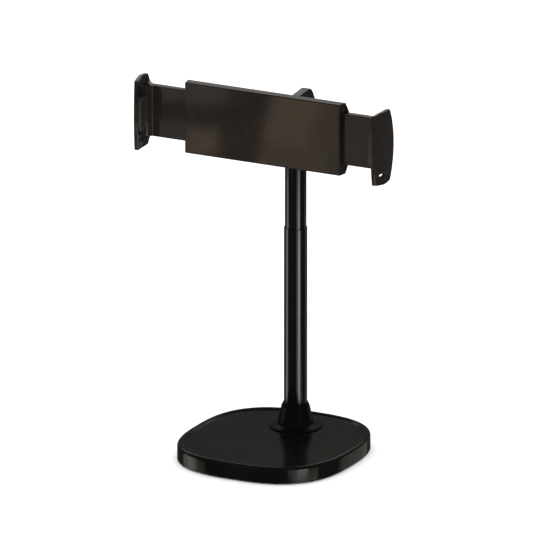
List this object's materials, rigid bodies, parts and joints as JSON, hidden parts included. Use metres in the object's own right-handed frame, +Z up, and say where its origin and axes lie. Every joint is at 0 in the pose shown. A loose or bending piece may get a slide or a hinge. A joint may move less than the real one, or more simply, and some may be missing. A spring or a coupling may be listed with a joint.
{
  "type": "tablet stand",
  "caption": "Desktop stand with a weighted base, telescopic mast and swan-neck arm; its clamp tilts, turns and grips a tablet between sliding jaws.",
  "frame": {"origin": "centre of the footprint at the underside of the foot pad", "axes": "+Z up along the mast, -Y towards the user, +X to the user's right"},
  "size_m": [0.2108, 0.145, 0.2949],
  "materials": {
    "base_shell": "satin black moulding",
    "steel_plate": "bare pressed plate",
    "rubber_foot": "matte",
    "zinc_steel": "zinc plated",
    "black_tube": "gloss black paint on steel tube",
    "collar_plastic": "semi-gloss black",
    "nylon": "natural nylon",
    "nylon_black": "black nylon",
    "neck_plastic": "semi-gloss black",
    "black_screw": "black oxide",
    "clamp_gloss": "gloss warm black",
    "grip_pad": "matte silicone"
  },
  "bodies": {
    "base": {"base_cover": "base_shell", "base_weight": "steel_plate", "bottom_plate": "base_shell", "foot_pad": "rubber_foot", "base_screws": "zinc_steel", "pole_bolt": "zinc_steel", "bolt_washer": "zinc_steel", "pole_plug": "zinc_steel", "lower_tube": "black_tube", "collar": "collar_plastic"},
    "mast": {"upper_tube": "black_tube", "mast_plug": "nylon", "mast_ring": "rubber_foot", "swivel_bush": "nylon_black", "thrust_washer": "nylon_black"},
    "neck": {"neck_arm": "neck_plastic", "swivel_pin": "zinc_steel", "swivel_spring": "zinc_steel", "swivel_clip": "zinc_steel"},
    "knuckle": {"tilt_knuckle": "neck_plastic", "tilt_bolt": "black_screw", "tilt_nut": "black_screw", "tilt_washers": "nylon_black", "turn_screw": "zinc_steel", "turn_washer": "zinc_steel", "turn_spring": "zinc_steel"},
    "clamp": {"clamp_front": "clamp_gloss", "clamp_back": "clamp_gloss", "clamp_screws": "black_screw", "pinion_spring": "zinc_steel"},
    "pinion": {"pinion": "nylon"},
    "right_jaw": {"right_jaw_arm": "clamp_gloss", "right_jaw_pad": "grip_pad"},
    "left_jaw": {"left_jaw_arm": "clamp_gloss", "left_jaw_pad": "grip_pad"}
  },
  "joints": [
    {"name": "height_slide", "type": "slide", "parent": "base", "child": "mast", "axis": [0, 0, 1], "range_m": [-0.05, 0.05]},
    {"name": "neck_swivel", "type": "hinge", "parent": "mast", "child": "neck", "pos_m": [0, 0.0367, 0.235], "axis": [0, 0, 1], "continuous": true},
    {"name": "tilt_hinge", "type": "hinge", "parent": "neck", "child": "knuckle", "pos_m": [0, 0.0078, 0.266], "axis": [-1, 0, 0], "range_deg": [-12, 90]},
    {"name": "clamp_turn", "type": "hinge", "parent": "knuckle", "child": "clamp", "pos_m": [0, -0.01, 0.266], "axis": [0, 1, 0], "continuous": true},
    {"name": "right_jaw_slide", "type": "slide", "parent": "clamp", "child": "right_jaw", "axis": [1, 0, 0], "range_m": [-0.029, 0.004]},
    {"name": "left_jaw_slide", "type": "slide", "parent": "clamp", "child": "left_jaw", "axis": [-1, 0, 0], "range_m": [-0.029, 0.004]},
    {"name": "pinion_turn", "type": "hinge", "parent": "clamp", "child": "pinion", "pos_m": [0, -0.0111, 0.266], "axis": [0, 1, 0], "range_deg": [-170, 25]}
  ],
  "couplings": [
    {"joint": "left_jaw_slide", "follows": "right_jaw_slide", "ratio": 1},
    {"joint": "pinion_turn", "follows": "right_jaw_slide", "rad_per_m": 100}
  ]
}
